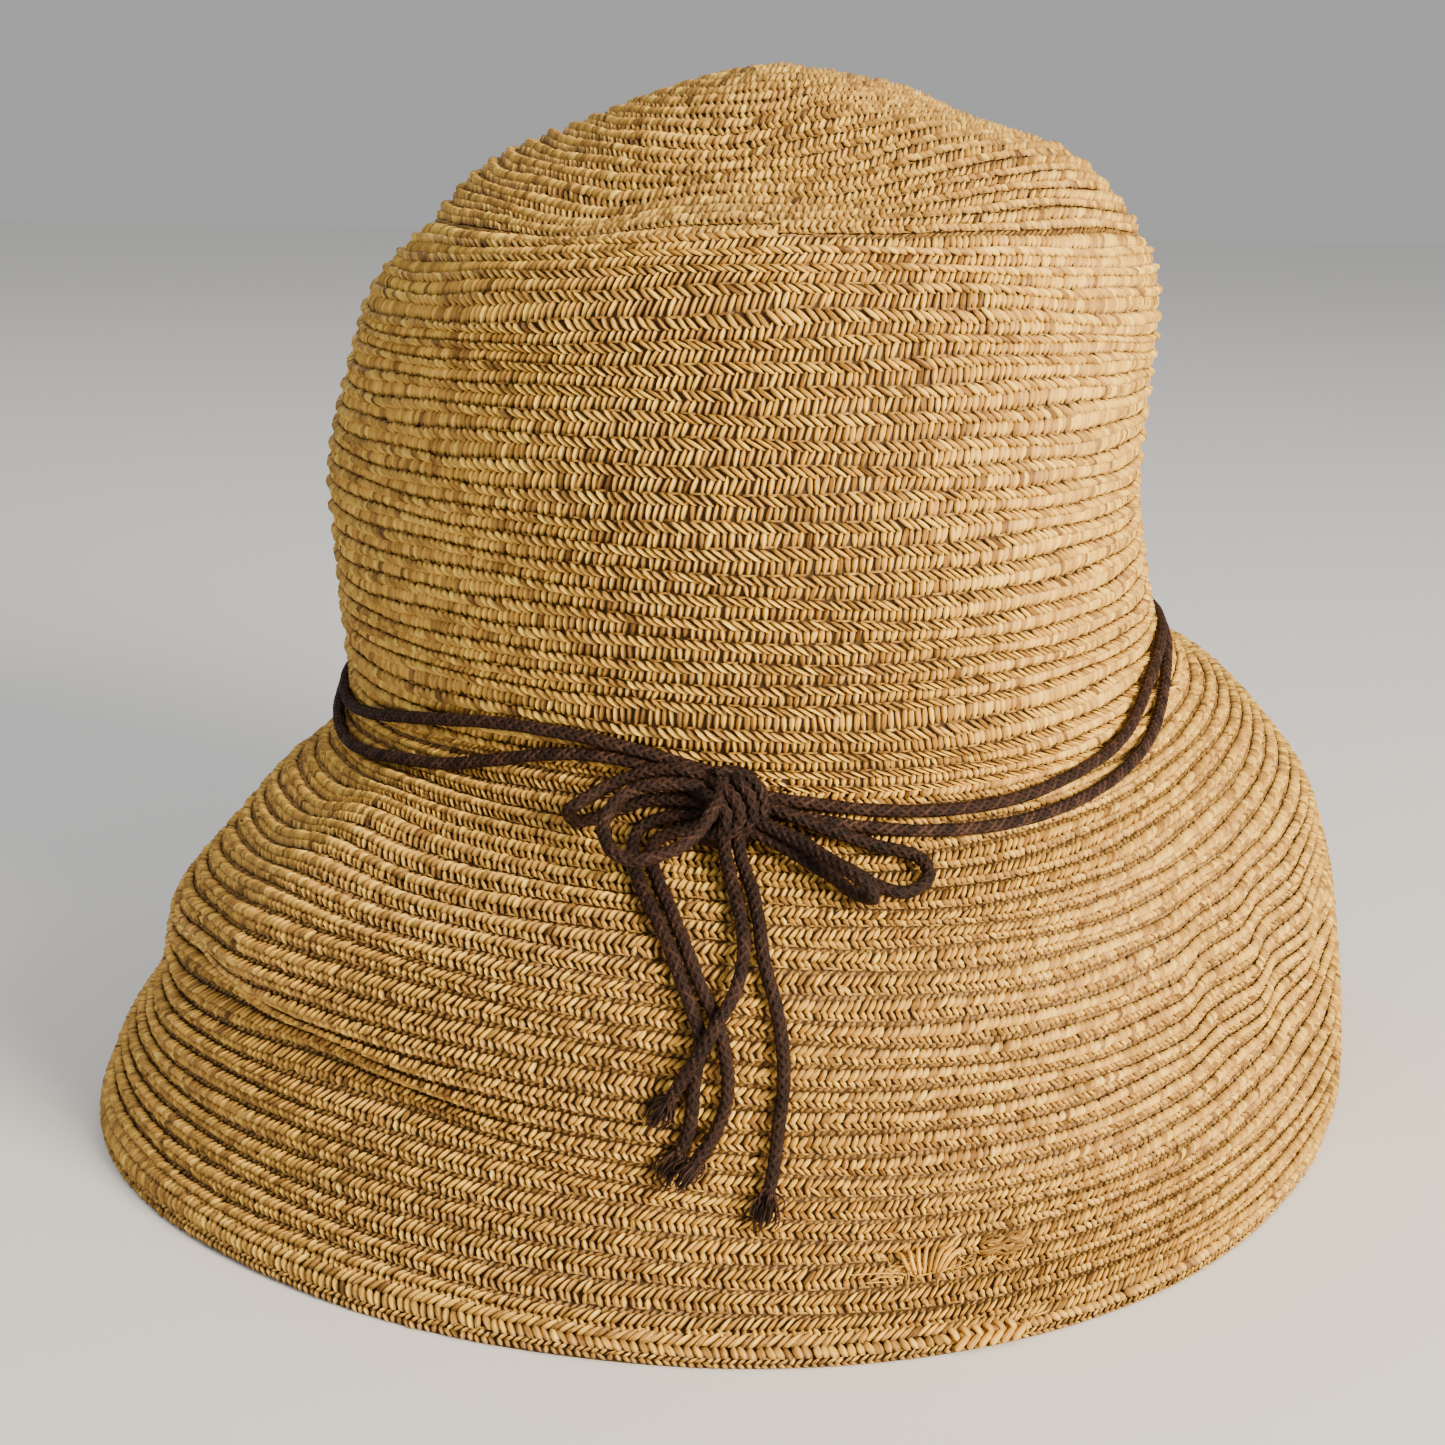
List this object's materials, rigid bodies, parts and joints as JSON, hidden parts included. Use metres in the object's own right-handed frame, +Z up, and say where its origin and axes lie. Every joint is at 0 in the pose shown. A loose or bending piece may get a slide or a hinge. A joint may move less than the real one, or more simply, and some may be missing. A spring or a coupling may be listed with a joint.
{
  "type": "straw sun hat",
  "caption": "Straw sun hat of spirally sewn braid, with a tall dented crown, a deep drooping brim and a dark cord wound round the crown and tied in a bow.",
  "frame": {"origin": "centre of the hat's outline on the surface that the brim stands on", "axes": "+Z up through the crown, -Y towards the bow at the front, +X to the right as seen from the front"},
  "size_m": [0.2762, 0.2768, 0.2146],
  "materials": {
    "straw_braid": "plaited straw, matte with bright strand edges",
    "straw_splice": "loose plaited straw ends",
    "waxed_cord": "waxed cotton, braided",
    "sweatband_ribbon": "ribbed cotton ribbon",
    "brim_wire": "drawn plastic wire",
    "wire_sleeve": "clear heat-shrunk sleeve"
  },
  "bodies": {
    "root": {"crown_button": "straw_braid", "crown_tip_braid": "straw_braid", "crown_upper_braid": "straw_braid", "crown_lower_braid": "straw_braid", "brim_inner_braid": "straw_braid", "brim_middle_braid": "straw_braid", "brim_outer_braid": "straw_braid", "brim_edge_braid": "straw_braid", "braid_splice_1": "straw_splice", "braid_splice_2": "straw_splice", "braid_end": "straw_splice", "cord_turn_upper": "waxed_cord", "cord_turn_lower": "waxed_cord", "bow_knot": "waxed_cord", "bow_loop_left_front": "waxed_cord", "bow_loop_left_back": "waxed_cord", "bow_loop_right_front": "waxed_cord", "bow_loop_right_back": "waxed_cord", "cord_tail_1": "waxed_cord", "cord_tail_2": "waxed_cord", "cord_tail_3": "waxed_cord", "cord_tail_4": "waxed_cord", "tail_fray_1": "waxed_cord", "tail_fray_2": "waxed_cord", "tail_fray_3": "waxed_cord", "tail_fray_4": "waxed_cord", "sweatband": "sweatband_ribbon", "brim_edge_wire": "brim_wire", "wire_joiner_sleeve": "wire_sleeve"}
  },
  "joints": []
}
